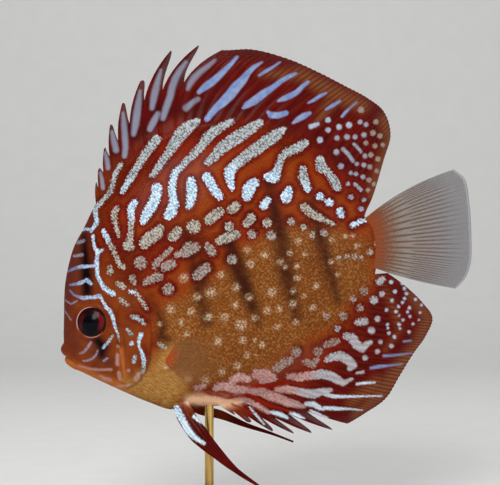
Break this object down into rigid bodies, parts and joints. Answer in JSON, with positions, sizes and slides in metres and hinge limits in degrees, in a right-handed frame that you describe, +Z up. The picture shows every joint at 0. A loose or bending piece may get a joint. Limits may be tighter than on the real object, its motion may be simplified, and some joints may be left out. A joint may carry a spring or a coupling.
{
  "type": "discus fish",
  "caption": "Life-size still model of a discus fish, a tall disc-shaped body with long striped fins, nose down on a thin rod and a flat rounded base.",
  "frame": {"origin": "middle of the bounding box in plan, on the underside of the stand's base", "axes": "+Z up, the head points along -X and the fish's left side faces -Y"},
  "size_m": [0.1486, 0.064, 0.1737],
  "materials": {
    "flank_skin": "wet satin scales, red brown with pale turquoise stripes and spots",
    "face_skin": "wet satin skin, orange brown with pale blue lines",
    "gill_cover_skin": "wet satin skin, golden orange with pale dashes",
    "median_fins": "wet satin fin membrane, deep red with blue stripes",
    "clear_fins": "clear membrane with orange brown rays",
    "pelvic_fins": "wet satin, dark red with a pale blue stripe",
    "eye": "glossy, dark maroon iris and black pupil",
    "stand_wood": "dark satin varnish",
    "stand_brass": "satin brass"
  },
  "bodies": {
    "root": {"head": "face_skin", "lower_jaw": "face_skin", "gill_cover_left": "gill_cover_skin", "gill_cover_right": "gill_cover_skin", "trunk": "flank_skin", "tail_stalk": "flank_skin", "eye_left": "eye", "eye_right": "eye", "dorsal_fin_spiny": "median_fins", "dorsal_fin_soft": "median_fins", "anal_fin_spiny": "median_fins", "anal_fin_soft": "median_fins", "caudal_fin": "clear_fins", "pectoral_fin_left": "clear_fins", "pectoral_fin_right": "clear_fins", "pelvic_fin_left": "pelvic_fins", "pelvic_fin_right": "pelvic_fins", "stand_base": "stand_wood", "stand_collar": "stand_brass", "stand_rod": "stand_brass"}
  },
  "joints": []
}
